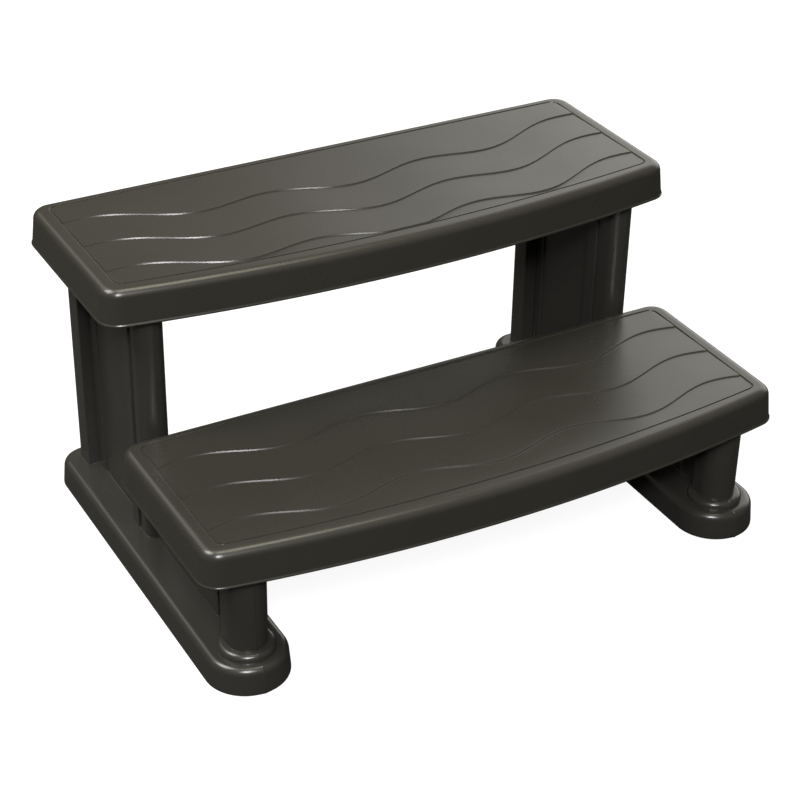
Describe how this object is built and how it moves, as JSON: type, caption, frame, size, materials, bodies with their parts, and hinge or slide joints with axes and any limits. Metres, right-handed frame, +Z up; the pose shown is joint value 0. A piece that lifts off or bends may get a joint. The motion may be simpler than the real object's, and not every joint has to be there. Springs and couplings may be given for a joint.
{
  "type": "spa step",
  "caption": "Low free-standing step with bowed treads on side frames, used to climb into a hot tub or pool; treads drop over sockets and are screwed to the frames",
  "frame": {"origin": "On the floor under the middle of the plan outline", "axes": "+X to the climber's right along the treads, -Y towards the climber, +Z up"},
  "size_m": [0.739, 0.5296, 0.37],
  "materials": {
    "tread_plastic": "satin moulded polyethylene with a fine texture, dark espresso",
    "frame_plastic": "satin blow-moulded polyethylene, dark espresso",
    "screw_steel": "stainless pan-head self-tapping screws"
  },
  "bodies": {
    "root": {"upper_tread": "tread_plastic", "lower_tread": "tread_plastic", "left_side_frame": "frame_plastic", "right_side_frame": "frame_plastic", "upper_tread_screws": "screw_steel", "lower_tread_screws": "screw_steel"}
  },
  "joints": []
}
